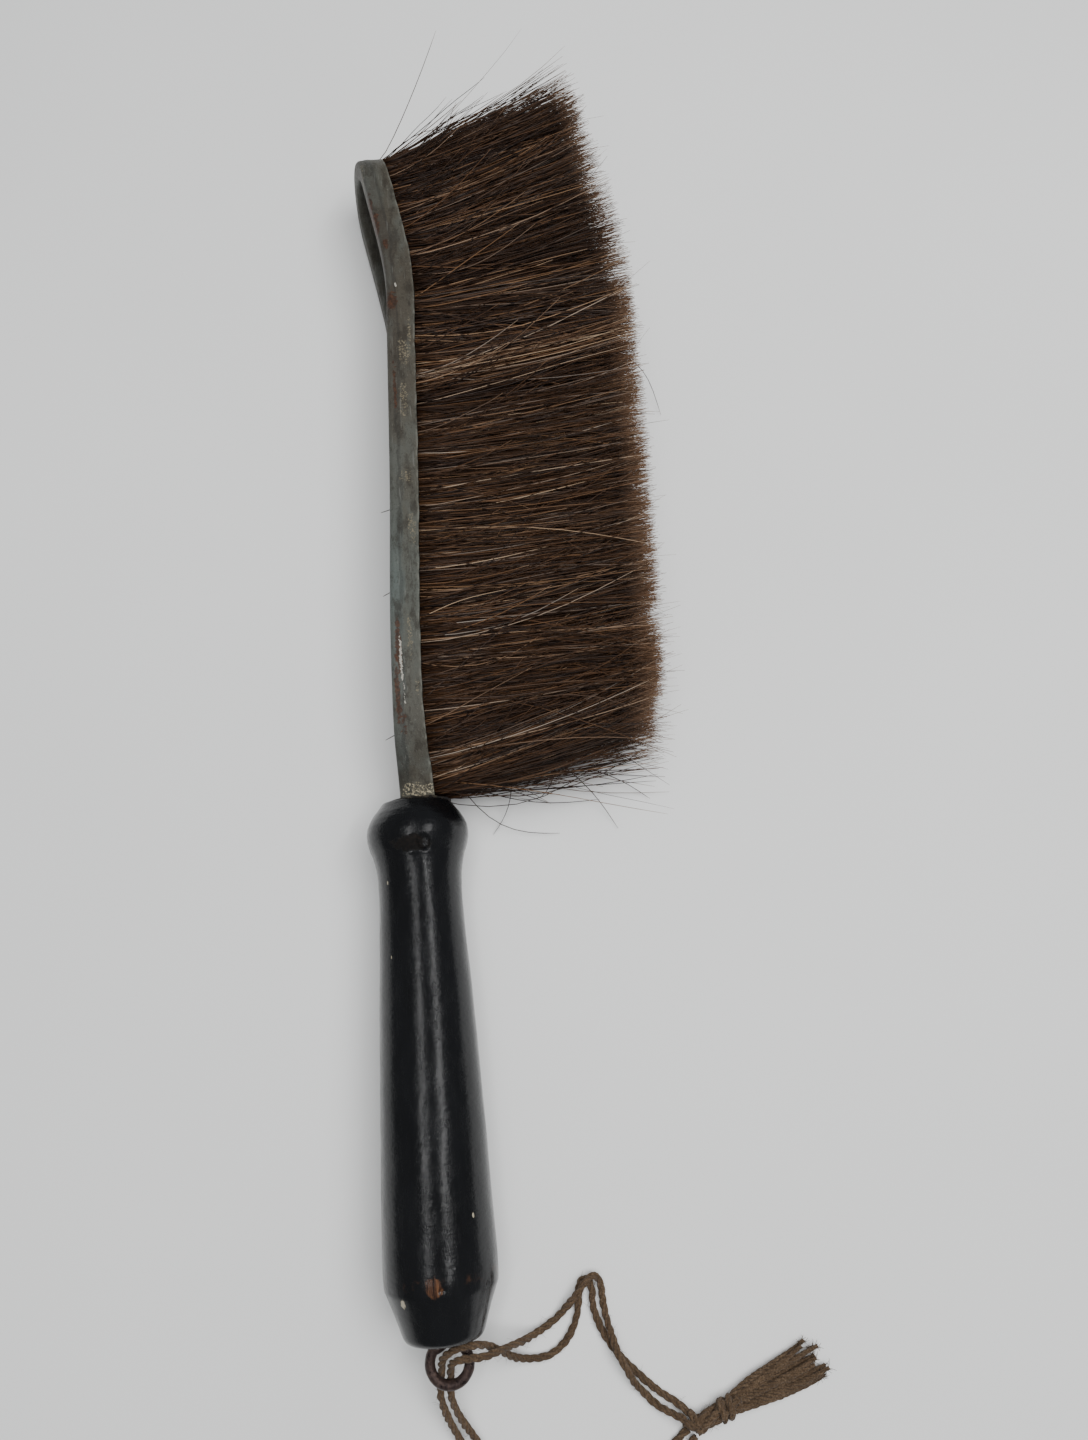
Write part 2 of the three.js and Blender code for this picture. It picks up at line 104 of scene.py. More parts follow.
STRAND_B = [
    (52.5, -16.5, 2.0), (50.0, -14.5, 1.2), (47.0, -12.5, 1.0), (44.0, -10.0, 1.0), (40.5, -6.5, 1.0),
    (37.0, -2.5, 1.0), (34.5, 2.0, 1.0), (33.2, 6.5, 1.0), (33.2, 10.0, 1.0), (32.6, 11.9, 1.0),
    (31.4, 12.3, 1.0), (30.4, 11.0, 1.0), (30.0, 8.0, 1.0), (29.0, 4.0, 1.0), (26.5, 0.0, 1.0),
    (22.5, -2.7, 1.0), (18.5, -3.0, 1.5), (15.0, -2.0, 3.5), (12.5, 0.0, 6.5), (10.5, 2.0, 9.5),
    (8.5, 3.5, 12.5), (6.5, 4.3, 15.0), (4.2, 4.4, 15.8), (2.3, 3.9, 15.8), (0.5, 2.9, 15.1),
    (-0.6, 1.6, 13.8), (-1.0, -0.5, 11.7), (-1.4, -3.0, 10.2), (-1.8, -6.0, 9.4), (-1.5, -9.0, 7.8),
    (-0.5, -13.0, 5.0), (1.5, -18.0, 2.3), (4.0, -23.0, 1.1), (8.5, -29.0, 1.0), (15.5, -34.0, 1.0),
    (25.0, -36.5, 1.0), (34.5, -35.5, 1.0), (42.5, -31.5, 1.0), (48.5, -27.0, 1.0), (53.5, -21.5, 1.3),
]


def to_row(points):
    return np.asarray(points, float) * MM + ORIGIN


def into_scene(name, data):
    made = bpy.data.objects.new(name, data)
    bpy.context.scene.collection.objects.link(made)
    return made


def placed(at, *axes):
    """The matrix of an object at a place of the brush frame, with its own three axes."""
    return Matrix.Translation(Vector(to_row(at))) @ Matrix(axes).transposed().to_4x4()


# ---- camera ----

CAMERA_AT = (27.38, 72.91, 275.29)
CAMERA_TILT = 15.0  # degrees away from straight down, towards the nose
CAMERA_TURN = 4.713  # degrees that the brush is turned in the view
LENS = 27.0


def make_camera():
    tilt = math.radians(CAMERA_TILT)
    turn = Matrix.Rotation(-math.radians(CAMERA_TURN), 3, "Z")
    right = turn @ Vector((1, 0, 0))
    up = turn @ Vector((0, math.cos(tilt), math.sin(tilt)))
    back = turn @ Vector((0, -math.sin(tilt), math.cos(tilt)))
    data = bpy.data.cameras.new("camera")
    data.lens = LENS
    data.clip_start = 0.01
    data.clip_end = 50
    camera = into_scene("camera", data)
    camera.matrix_world = placed(CAMERA_AT, right, up, back)
    bpy.context.scene.camera = camera


make_camera()

# ---- material helpers ----


class Look:
    """A node material with short calls for the textures that it mixes. Coordinates are in metres."""

    def __init__(self, name, roughness, metallic=0.0, **sockets):
        self.material = bpy.data.materials.new(name)
        self.material.use_nodes = True
        self.tree = self.material.node_tree
        self.shader = self.tree.nodes["Principled BSDF"]
        self.shader.inputs["Roughness"].default_value = roughness
        self.shader.inputs["Metallic"].default_value = metallic
        for socket, value in sockets.items():
            self.shader.inputs[socket.replace("_", " ")].default_value = value
        self.coords = self.node("ShaderNodeTexCoord").outputs["Object"]

    def node(self, kind, inputs=(), **settings):
        """A node with its settings made and its inputs, by name or by number, given or linked."""
        made = self.tree.nodes.new(kind)
        for key, value in settings.items():
            setattr(made, key, value)
        for key, value in dict(inputs).items():
            self.set(made.inputs[key], value)
        return made

    def set(self, socket, value):
        if isinstance(value, bpy.types.NodeSocket):
            self.tree.links.new(value, socket)
        elif isinstance(value, (tuple, list)) and len(value) == 3 and socket.type == "RGBA":
            socket.default_value = (*value, 1)
        else:
            socket.default_value = value

    def mapped(self, scale, offset=(0, 0, 0)):
        inputs = {"Vector": self.coords, "Scale": scale, "Location": offset}
        return self.node("ShaderNodeMapping", inputs).outputs["Vector"]

    def noise(self, scale, detail=3.0, roughness=0.5, stretch=(1, 1, 1)):
        inputs = {"Vector": self.mapped(stretch), "Scale": scale, "Detail": detail, "Roughness": roughness}
        return self.node("ShaderNodeTexNoise", inputs).outputs["Fac"]

    def range(self, value, low, high, to_low=0.0, to_high=1.0, smooth=True):
        inputs = {"Value": value, "From Min": low, "From Max": high, "To Min": to_low, "To Max": to_high}
        kind = "SMOOTHSTEP" if smooth else "LINEAR"
        return self.node("ShaderNodeMapRange", inputs, interpolation_type=kind).outputs["Result"]

    def maths(self, operation, a, b):
        return self.node("ShaderNodeMath", {0: a, 1: b}, operation=operation).outputs["Value"]

    def times(self, a, b):
        return self.maths("MULTIPLY", a, b)

    def mix(self, share, a, b):
        return self.node("ShaderNodeMix", {0: share, 6: a, 7: b}, data_type="RGBA").outputs[2]

    def ramp(self, value, *stops):
        made = self.node("ShaderNodeValToRGB", {"Fac": value})
        elements = made.color_ramp.elements
        while len(elements) < len(stops):
            elements.new(0.5)
        for element, (place, colour) in zip(elements, stops):
            element.position = place
            element.color = (*colour, 1)
        return made.outputs["Color"]

    def axis(self, name):
        """One coordinate in metres, X, Y or Z."""
        return self.node("ShaderNodeSeparateXYZ", {0: self.coords}).outputs[name]

    def attribute(self, name):
        return self.node("ShaderNodeAttribute", attribute_name=name).outputs["Fac"]

    def spot(self, centre, size, rag, grain):
        """1 at a place of the brush frame, 0 past its ragged edge. size: three half sizes in mm."""
        place = to_row(centre)
        scale = [1 / (s * MM) for s in size]
        coords = self.mapped(tuple(scale), tuple(-p * s for p, s in zip(place, scale)))
        far = self.node("ShaderNodeVectorMath", {0: coords}, operation="LENGTH").outputs["Value"]
        ragged = self.times(self.maths("SUBTRACT", self.noise(grain, 4.0, 0.6), 0.5), rag * 4)
        return self.range(self.maths("ADD", far, ragged), 1.15, 0.85)

    def spotted(self, base, colour, places, grain, strength=1.0):
        """A colour mixed into another at places with a centre, half sizes and a raggedness each."""
        for place in places:
            base = self.mix(self.times(self.spot(*place, grain), strength), base, colour)
        return base

    def colour(self, value):
        self.set(self.shader.inputs["Base Color"], value)

    def rough(self, value):
        self.set(self.shader.inputs["Roughness"], value)

    def bump(self, height, distance, strength=1.0):
        made = self.node("ShaderNodeBump", {"Height": height, "Distance": distance, "Strength": strength})
        previous = self.shader.inputs["Normal"]
        if previous.is_linked:
            self.set(made.inputs["Normal"], previous.links[0].from_socket)
        self.set(previous, made.outputs["Normal"])


# ---- mesh helpers ----


def unit(vectors):
    return vectors / np.maximum(np.linalg.norm(vectors, axis=-1, keepdims=True), 1e-12)


def smoothstep(value, low, high):
    t = np.clip((np.asarray(value, float) - low) / (high - low), 0, 1)
    return t * t * (3 - 2 * t)


def hermite(t, first, leaving, last, arriving):
    """A smooth run between two values over t from 0 to 1, with a slope at each."""
    return ((2 * t ** 3 - 3 * t ** 2 + 1) * first + (t ** 3 - 2 * t ** 2 + t) * leaving
            + (3 * t ** 2 - 2 * t ** 3) * last + (t ** 3 - t ** 2) * arriving)


def wobble(value, seed, wavelengths):
    """A smooth wavering number between about -1 and 1, repeatable for each seed."""
    random = np.random.default_rng(seed)
    waves = [np.sin(2 * math.pi * (np.asarray(value) / w + random.random())) for w in wavelengths]
    return sum(waves) / len(waves)


def bumpy(points, scale, seed):
    """Smooth noise from -1 to 1 at points in mm, with lumps about `scale` mm across."""
    return np.array([noise.noise(Vector(p) / scale + Vector((seed, 0, 0))) for p in points])


def make_piece(name, points, faces, look, smooth=True):
    """An object of points in brush millimetres that rides on the brush and takes its finish from a slot."""
    mesh = bpy.data.meshes.new(name)
    mesh.from_pydata(to_row(points).tolist(), [], [tuple(map(int, face)) for face in faces])
    mesh.update()
    mesh.polygons.foreach_set("use_smooth", [smooth] * len(mesh.polygons))
    mesh.materials.append(look.material)
    piece = into_scene(name, mesh)
    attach(piece, "root")
    return piece


def mark(mesh, name, values):
    """Gives each point of a mesh a number that its material reads."""
    mesh.attributes.new(name, "FLOAT", "POINT").data.foreach_set("value", values)


class Shell:
    """Points and faces of several closed bodies, gathered for one piece."""

    def __init__(self):
        self.points = []
        self.faces = []
        self.count = 0

    def add(self, points, faces):
        self.points.append(np.asarray(points, float))
        self.faces.extend([tuple(i + self.count for i in face) for face in faces])
        self.count += len(points)

    def piece(self, name, look, slot, smooth=True):
        return make_piece(name, np.concatenate(self.points), self.faces, look, smooth)


def grid_faces(rings, sides, closed_rings=False):
    """Quads between rings of points, with the ends closed by one face each unless the rings meet."""
    faces = []
    for i in range(rings if closed_rings else rings - 1):
        here, there = i * sides, ((i + 1) % rings) * sides
        for j in range(sides):
            k = (j + 1) % sides
            faces.append((here + j, here + k, there + k, there + j))
    if not closed_rings:
        faces.append(tuple(reversed(range(sides))))
        faces.append(tuple(range((rings - 1) * sides, rings * sides)))
    return faces


def catmull(points, per_span, alpha=0.5):
    """A centripetal Catmull-Rom curve through points (uniform with alpha 0)."""
    p = np.asarray(points, float)
    p = np.vstack([2 * p[0] - p[1], p, 2 * p[-1] - p[-2]])
    t = np.linspace(0, 1, per_span, endpoint=False)[:, None]
    out = []
    for a, b, c, d in zip(p, p[1:], p[2:], p[3:]):
        e, f, g = (max(np.linalg.norm(y - x), 1e-6) ** alpha for x, y in ((a, b), (b, c), (c, d)))
        start = ((b - a) / e - (c - a) / (e + f) + (c - b) / f) * f
        end = ((c - b) / f - (d - b) / (f + g) + (d - c) / g) * f
        out.append(hermite(t, b, start, c, end))
    return np.vstack([*out, p[-2:-1]])


def lengths(points):
    return np.concatenate([[0], np.cumsum(np.linalg.norm(np.diff(points, axis=0), axis=1))])


def resample(points, step):
    along = lengths(points)
    places = np.linspace(0, along[-1], max(2, round(along[-1] / step) + 1))
    return np.stack([np.interp(places, along, points[:, k]) for k in range(points.shape[1])], 1)


def carried_frames(points):
    """The way along a path and two directions across it that don't twist."""
    along = unit(np.gradient(points, axis=0))
    across = np.cross(along[0], (0, 0, 1.0))
    if np.linalg.norm(across) < 0.1:
        across = np.cross(along[0], (0, 1.0, 0))
    sides = []
    for direction in along:
        across = unit(across - direction * (across @ direction))
        sides.append(across)
    sides = np.array(sides)
    return along, sides, np.cross(along, sides)


def tube(points, radius, sides):
    """Points and faces of a closed tube. radius is one number or one for each point."""
    _, across, other = carried_frames(points)
    radius = np.broadcast_to(radius, len(points))[:, None, None]
    angle = np.arange(sides) * 2 * math.pi / sides
    ring = across[:, None] * np.cos(angle)[None, :, None] + other[:, None] * np.sin(angle)[None, :, None]
    return (points[:, None] + ring * radius).reshape(-1, 3), grid_faces(len(points), sides)


# ---- the hairpin's path ----


def station(column, y):
    """The smooth value of one column of STATIONS at y."""
    knots, values = STATIONS[:, 0], STATIONS[:, column]
    before = np.maximum(np.arange(len(knots)) - 1, 0)
    after = np.minimum(np.arange(len(knots)) + 1, len(knots) - 1)
    slope = (values[after] - values[before]) / (knots[after] - knots[before])
    i = np.clip(np.searchsorted(knots, y) - 1, 0, len(knots) - 2)
    span = knots[i + 1] - knots[i]
    t = (y - knots[i]) / span
    return hermite(t, values[i], span * slope[i], values[i + 1], span * slope[i + 1])


def hairpin(w):
    """The channel's middle at w mm from the tip of the nose, negative on the upper run. Gives its place,
    the outward, reaching and +Y-going directions, the depth, half the gap, y and the nose's angle."""
    w = np.asarray(w, float)
    y = np.minimum(TURN_Y, TURN_Y - (np.abs(w) - QUARTER))
    step = 0.5
    ahead = np.minimum(y + step, TURN_Y)
    lean = (station(1, ahead) - station(1, y - step)) / (ahead - y + step)
    along = unit(np.stack([lean, np.ones_like(y), np.zeros_like(y)], -1))
    side = np.cross(along, (0, 0, 1.0))
    roll = np.radians(station(3, y))[..., None]
    up = np.array([0, 0, 1.0]) * np.cos(roll) + side * np.sin(roll)
    reach = unit(np.cross(along, up))
    angle = np.clip(math.pi / 2 + w / TURN_R, 0, math.pi)
    out = up * np.cos(angle)[..., None] + along * np.sin(angle)[..., None]
    half = station(4, y)
    at = np.stack([station(1, y), y, station(2, y)], -1) + out * half[..., None]
    return {"at": at, "out": out, "reach": reach, "along": along, "depth": station(5, y), "half": half,
            "y": y, "angle": angle}


UPPER_END = -(TURN_Y - CHANNEL_START + QUARTER)  # w of the upper run's end in the handle

# ---- twine ----

PLIES = 3
LAY = 6.4  # mm of twine for one turn of its plies


def twine_look():
    look = Look("twine_fibre", 0.95, Specular_IOR_Level=0.2, Sheen_Weight=0.08, Sheen_Roughness=0.5)
    streaks = look.noise(2600, 4.0, 0.7)
    patches = look.noise(240, 2.0, 0.5)
    fibre = look.ramp(streaks, (0.3, (0.026, 0.016, 0.009)), (0.5, (0.085, 0.055, 0.033)),
                      (0.74, (0.19, 0.135, 0.088)))
    look.colour(look.mix(look.range(patches, 0.35, 0.7, 0.0, 0.5), fibre, (0.052, 0.034, 0.021)))
    look.bump(streaks, 0.00025, 0.9)
    return look


TWINE = twine_look()


def twisted(shell, points, plies, radius, ply_radius, turn, seed=0, step=0.45):
    """Adds a strand of twisted plies along points. turn: mm for a whole turn. radius may vary."""
    path = resample(points, step)
    _, across, other = carried_frames(path)
    along = lengths(path)
    radius = np.interp(along, np.linspace(0, along[-1], len(np.atleast_1d(radius))), np.atleast_1d(radius))
    lumpy = 1 + 0.1 * wobble(along, seed + 5, (3.1, 7.7, 13.0))
    for ply in range(plies):
        uneven = 0.5 * wobble(along, seed + 9, (11.0, 23.0))
        angle = 2 * math.pi * (along / turn + ply / plies) + seed + uneven
        offset = across * np.cos(angle)[:, None] + other * np.sin(angle)[:, None]
        shell.add(*tube(path + offset * (radius * lumpy)[:, None], ply_radius * lumpy, 9))


def fibres_along(shell, points, count, seed, reach=1.5, out=1.0, thick=0.028):
    """Adds fine curled fibres that stand off a strand."""
    random = np.random.default_rng(seed)
    path = resample(points, 0.5)
    along, across, other = carried_frames(path)
    for _ in range(count):
        i = random.integers(2, len(path) - 2)
        angle = random.uniform(0, 2 * math.pi)
        away = across[i] * math.cos(angle) + other[i] * math.sin(angle)
        lean = along[i] * random.choice((-1, 1)) * random.uniform(0.5, 1.6)
        curl = np.cross(along[i], away) * random.uniform(-1.2, 1.2)
        length = random.uniform(0.4, 1.0) * reach
        t = np.linspace(0, 1, 6)[:, None]
        line = path[i] + away * (out * 0.8 + length * 0.6 * t) + lean * length * t + curl * length * t ** 2
        line[:, 2] = np.maximum(line[:, 2], 0.08)
        shell.add(*tube(line, np.linspace(thick, thick * 0.5, 6), 3))


def make_strand(name, node, route, order):
    line = resample(catmull(route, 10), 0.45)
    shell = Shell()
    twisted(shell, line, PLIES, TWINE_R * 0.5, TWINE_R * 0.48, LAY, seed=len(name) + order)
    piece = shell.piece(name, TWINE, "twine")
    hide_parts(node)
    return piece, line


def knot_coil(turns, radius, start, end, phase):
    """A helix about the knot's axis from one share of its length to another."""
    axis = unit(KNOT_TO - KNOT_FROM)
    side = unit(np.cross(axis, (0, 0, 1.0)))
    up = np.cross(side, axis)
    t = np.linspace(0, 1, 60)[:, None]
    angle = phase + 2 * math.pi * turns * t
    centre = KNOT_FROM + (KNOT_TO - KNOT_FROM) * (start + (end - start) * t)
    return centre + (side * np.cos(angle) + up * np.sin(angle)) * radius


def make_knot():
    """The doubled twine twisted along itself, with a tight double wrap at the tassel's end."""
    shell = Shell()
    for pair, phase in enumerate((0.4, 2.6)):
        wrap = knot_coil(1.1, 1.85 - 0.15 * pair, 0.66 + 0.1 * pair, 0.88 + 0.12 * pair, phase)
        twisted(shell, wrap, PLIES, 0.38, 0.5, LAY, seed=pair)
    for strand, phase in enumerate((0.2, 1.8, 3.3, 4.9)):
        core = knot_coil(0.6, 1.15, -0.12, 1.25, phase)
        twisted(shell, core, PLIES, 0.4, 0.5, LAY, seed=strand + 4)
    axis = unit(KNOT_TO - KNOT_FROM)
    for lead_in, phase in (((-3.3, 0.9, 0.9), 0.5), ((-1.9, 2.6, -0.4), 2.0)):
        start = KNOT_FROM + np.array(lead_in)
        meets = knot_coil(0.2, 1.1, 0.0, 0.3, phase)
        line = catmull(np.vstack([start, start * 0.4 + meets[0] * 0.6, meets[::20], meets[-1] + axis]), 8)
        twisted(shell, line, PLIES, 0.44, 0.53, LAY, seed=2)
    piece = shell.piece("twine_knot_wound", TWINE, "twine")
    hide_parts("twine_knot")
    return piece


TUFTS = 6
PLIES_IN_TUFT = 2
YARNS = 4


def make_tassel():
    """The frayed ends: loose plies that fan out on the surface and gather in tufts at their tips."""
    random = np.random.default_rng(31)
    axis = unit(TASSEL_TO - KNOT_TO)
    side = unit(np.cross((0, 0, 1.0), axis))
    length = np.linalg.norm(TASSEL_TO - KNOT_TO)
    shell = Shell()
    t = np.linspace(0, 1, 12)[:, None]
    for i in range(TUFTS * PLIES_IN_TUFT):
        tuft, ply = divmod(i, PLIES_IN_TUFT)
        middle = (tuft + 0.5) / TUFTS * 2 - 1
        beside = (ply - 0.5) / TUFTS * 2 * (1 - 0.75 * t ** 2)
        spread = middle + beside
        reach = length * (0.8 + 0.17 * ((tuft * 2 + 3) % TUFTS) / TUFTS + 0.07 * random.random())
        height = 1.0 + 1.1 * ((tuft + ply) % 2) + 0.5 * random.random()
        wave = random.uniform(-0.35, 0.35) * np.sin(t * math.pi * random.uniform(1, 2))
        fan = spread * (1.5 + 3.9 * t ** 1.1) + 1.4 * max(0.0, -middle) * t ** 4
        line = KNOT_TO + axis * (0.3 + reach * t) + side * (fan + wave)
        line[:, 2] = 2.7 + (height - 2.7) * t[:, 0] ** 0.8 + 0.3 * np.sin(t[:, 0] * 5 + i)
        line[:, 2] = np.clip(line[:, 2], 0.95, 4.0)
        loose = np.array([0.44, 0.48, 0.44, 0.34, 0.1])
        twisted(shell, line, YARNS, loose, 0.31, 7.0, seed=i)
        ends = np.vstack([line[-2:], line[-1] + axis * 0.7])
        fibres_along(shell, ends, 26, 100 + i, reach=1.1, out=0.3, thick=0.07)
        fibres_along(shell, line, 16, 200 + i, reach=1.0, out=0.7, thick=0.04)
    piece = shell.piece("twine_tassel_frayed", TWINE, "twine")
    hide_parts("twine_tassel")
    return piece


def make_twine():
    knot = make_knot()
    tassel = make_tassel()
    fibres = Shell()
    for seed, (name, node, route) in enumerate((("twine_loop_a", "twine_strand_a", STRAND_A),
                                                ("twine_loop_b", "twine_strand_b", STRAND_B))):
        piece, line = make_strand(name, node, route, seed)
        fibres_along(fibres, line, 260, 40 + seed)
    fibres_along(fibres, np.array([KNOT_FROM, KNOT_TO]), 50, 44, out=2.4)
    fibres.piece("twine_fuzz", TWINE, "twine")


make_twine()

# ---- metalwork ----


STEEL_TONES = [  # y in the brush frame and the colour of the metal there
    (124.0, (0.062, 0.058, 0.045)), (134.0, (0.03, 0.031, 0.027)), (146.0, (0.105, 0.107, 0.096)),
    (178.0, (0.114, 0.134, 0.124)), (212.0, (0.09, 0.086, 0.072)), (244.0, (0.072, 0.063, 0.05)),
    (270.0, (0.063, 0.054, 0.043)), (306.0, (0.066, 0.062, 0.05)),
]


def steel_look():
    look = Look("channel_steel_aged", 0.5, metallic=0.35)
    first, last = STEEL_TONES[0][0], STEEL_TONES[-1][0]
    low, high = (float(to_row((0, y, 0))[1]) for y in (first, last))
    along = look.range(look.axis("Y"), low, high, smooth=False)
    base = look.ramp(along, *(((y - first) / (last - first), colour) for y, colour in STEEL_TONES))
    across = look.attribute("across")
    drift = look.range(look.noise(300, 3.0, 0.6, (1, 0.2, 1)), 0.3, 0.7, -0.1, 0.1)
    drifting = look.maths("ADD", across, drift)
    base = look.mix(look.range(drifting, 0.34, 0.5, 0, 0.55), base, (0.085, 0.076, 0.058))
    cloudy = look.noise(140, 5.0, 0.66, (1, 0.5, 1))
    base = look.mix(look.range(cloudy, 0.4, 0.64, 0, 0.5), base, (0.108, 0.118, 0.106))
    base = look.spotted(base, (0.03, 0.031, 0.027), DARKENED, 500, 0.5)
    blotched = look.range(look.noise(360, 5.0, 0.75, (1, 0.4, 1)), 0.48, 0.64)
    base = look.mix(look.times(blotched, 0.65), base, (0.032, 0.027, 0.021))
    # Painted shade: a dark line along the crease low on the channel's side.
    crease_shade = look.times(look.range(drifting, 0.24, 0.33), look.range(drifting, 0.44, 0.35))
    base = look.mix(look.times(crease_shade, 0.4), base, (0.026, 0.025, 0.022))
    fine = look.noise(1900, 5.0, 0.7)
    base = look.mix(look.range(fine, 0.5, 0.72, 0, 0.6), base, (0.02, 0.018, 0.015))
    base = look.mix(look.range(look.noise(2600, 3.0, 0.6), 0.63, 0.74, 0, 0.4), base, (0.26, 0.25, 0.21))
    scratches = look.range(look.noise(2200, 3.0, 0.6, (1, 0.05, 1)), 0.62, 0.7, 0, 0.35)
    base = look.mix(scratches, base, (0.22, 0.22, 0.2))
    # Painted highlight: a mottled lighter line along the lip's edge.
    patchy = look.range(look.noise(500, 3.0), 0.4, 0.62, 0.05, 0.6)
    lip_highlight = look.times(look.attribute("lip"), patchy)
    base = look.mix(lip_highlight, base, (0.22, 0.22, 0.19))
    rust = look.ramp(look.noise(1500, 4.0, 0.7), (0.35, (0.024, 0.011, 0.007)),
                     (0.55, (0.075, 0.03, 0.016)), (0.75, (0.17, 0.066, 0.026)))
    base = look.spotted(base, rust, RUSTED, 800, 0.7)
    base = look.spotted(base, (0.42, 0.4, 0.35), STREAKED, 1500)
    speckled = look.range(look.noise(2100, 4.0, 0.7), 0.5, 0.6)
    base = look.spotted(base, (0.25, 0.215, 0.145), SPECKLED, 900, look.times(speckled, 0.75))
    crust = look.spot((1.2, 126.6, 18.0), (4.2, 1.7, 9.0), 0.5, 900)
    base = look.mix(look.times(crust, speckled), base, (0.4, 0.35, 0.24))
    look.colour(base)
    look.rough(look.range(fine, 0.3, 0.7, 0.68, 0.42))
    look.bump(look.noise(420, 5.0, 0.6), 0.0005, 0.45)
    look.bump(fine, 0.00022, 0.8)
    return look


TOP = 25.6  # height of the upper run's visible side
RUSTED = [
    ((-1.9, 147.0, TOP), (0.7, 11.0, 4.0), 0.5),
    ((-0.9, 141.5, TOP), (0.9, 4.0, 4.0), 0.6),
    ((-1.0, 161.0, TOP), (0.7, 7.0, 4.0), 0.6),
    ((1.8, 258.6, TOP), (1.4, 2.9, 3.0), 0.7),
    ((1.2, 276.2, TOP), (0.7, 1.8, 3.0), 0.6),
    ((-2.9, 286.0, TOP), (0.8, 8.0, 4.0), 0.6),
    ((-1.4, 282.5, TOP), (1.0, 4.0, 3.0), 0.6),
    ((1.5, 232.0, TOP), (0.4, 6.0, 3.0), 1.0),
]
DARKENED = [((0.4, 133.5, TOP), (3.6, 6.0, 4.0), 0.7)]
STREAKED = [
    ((-0.3, 148.4, TOP), (0.42, 4.0, 2.0), 0.5),
    ((-0.6, 157.8, TOP), (0.3, 4.8, 2.0), 1.1),
    ((3.1, 263.4, TOP), (0.25, 0.8, 2.0), 0.6),
]
SPECKLED = [
    ((3.1, 150.5, TOP), (0.6, 3.4, 2.0), 0.8),
    ((1.9, 164.0, TOP), (0.6, 5.0, 2.0), 0.9),
    ((3.9, 192.0, TOP), (0.9, 3.6, 2.0), 0.8),
    ((3.2, 206.5, TOP), (1.3, 1.6, 2.0), 0.9),
    ((3.5, 228.5, TOP), (1.0, 5.0, 2.0), 0.7),
    ((4.4, 243.0, TOP), (1.5, 4.0, 2.0), 0.7),
    ((6.0, 249.5, TOP), (0.5, 4.6, 2.0), 0.8),
    ((-4.6, 296.0, TOP), (0.5, 7.0, 3.0), 0.8),
]


def channel_section():
    """Half of the channel's outline, from the middle of its closed back out and round to the inside.
    u is across the channel and v from its back to its lips, with a mark of 1 along the lip, where a
    highlight is painted."""
    corner, centre = 1.15, (1.4, 1.15)
    points = [(0.0, 0.0, 0), (0.8, 0.0, 0)]
    for degrees in range(-90, 1, 15):
        a = math.radians(degrees)
        points.append((centre[0] + corner * math.cos(a), centre[1] + corner * math.sin(a), 0))
    points += [(2.62, 1.9, 0), (2.7, 2.6, 0), (2.72, 3.3, 0), (2.66, 4.1, 0), (2.6, 5.0, 0),
               (2.58, 6.0, 0), (2.6, 6.7, 0), (2.6, 7.0, 0.4), (2.56, 7.25, 1), (2.42, 7.4, 1),
               (2.2, 7.4, 1), (2.05, 7.25, 0.6), (2.0, 7.0, 0), (2.0, 4.0, 0), (2.0, 1.6, 0)]
    for degrees in range(0, -91, -30):
        a = math.radians(degrees)
        points.append((1.35 + 0.65 * math.cos(a), 1.25 + 0.65 * math.sin(a), 0))
    return points + [(0.6, SHEET, 0), (0.0, SHEET, 0)]


CHANNEL_RINGS = 620


def make_channel():
    half = channel_section()
    section = np.array(half + [(-u, v, m) for u, v, m in reversed(half)][1:-1])
    w = np.linspace(UPPER_END, -UPPER_END, CHANNEL_RINGS)
    path = hairpin(w)
    u, v, lip = section.T
    dent = 0.1 * wobble(w, 3, (17.0, 29.0, 47.0))
    wavy = 0.13 * wobble(w, 8, (6.5, 11.0, 19.0))
    height = v[None] * (path["depth"] / CHANNEL_DEPTH)[:, None]
    side = u[None] * (1 + (dent[:, None] * (v / CHANNEL_DEPTH)[None] * 0.4))
    height = height + np.where(v > 6.5, wavy[:, None], 0) - (path["depth"] / 2)[:, None]
    points = path["at"][:, None] + path["out"][:, None] * side[..., None]
    points = points + path["reach"][:, None] * height[..., None]
    faces = grid_faces(len(w), len(section))
    piece = make_piece("channel_pressed", points.reshape(-1, 3), faces, STEEL)
    mark(piece.data, "lip", np.tile(lip, len(w)))
    mark(piece.data, "across", np.tile(v / CHANNEL_DEPTH, len(w)))
    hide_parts("channel_strip")


STEEL = steel_look()
make_channel()


def rust_look():
    look = Look("wire_rusted", 0.36, metallic=0.6)
    mottled = look.noise(900, 5.0, 0.65)
    look.colour(look.ramp(mottled, (0.32, (0.02, 0.014, 0.014)), (0.52, (0.06, 0.04, 0.036)),
                          (0.68, (0.12, 0.08, 0.068)), (0.85, (0.22, 0.165, 0.145))))
    look.rough(look.range(mottled, 0.35, 0.7, 0.26, 0.55))
    look.bump(look.noise(1800, 5.0, 0.7), 0.0002, 0.6)
    return look


RUST = rust_look()


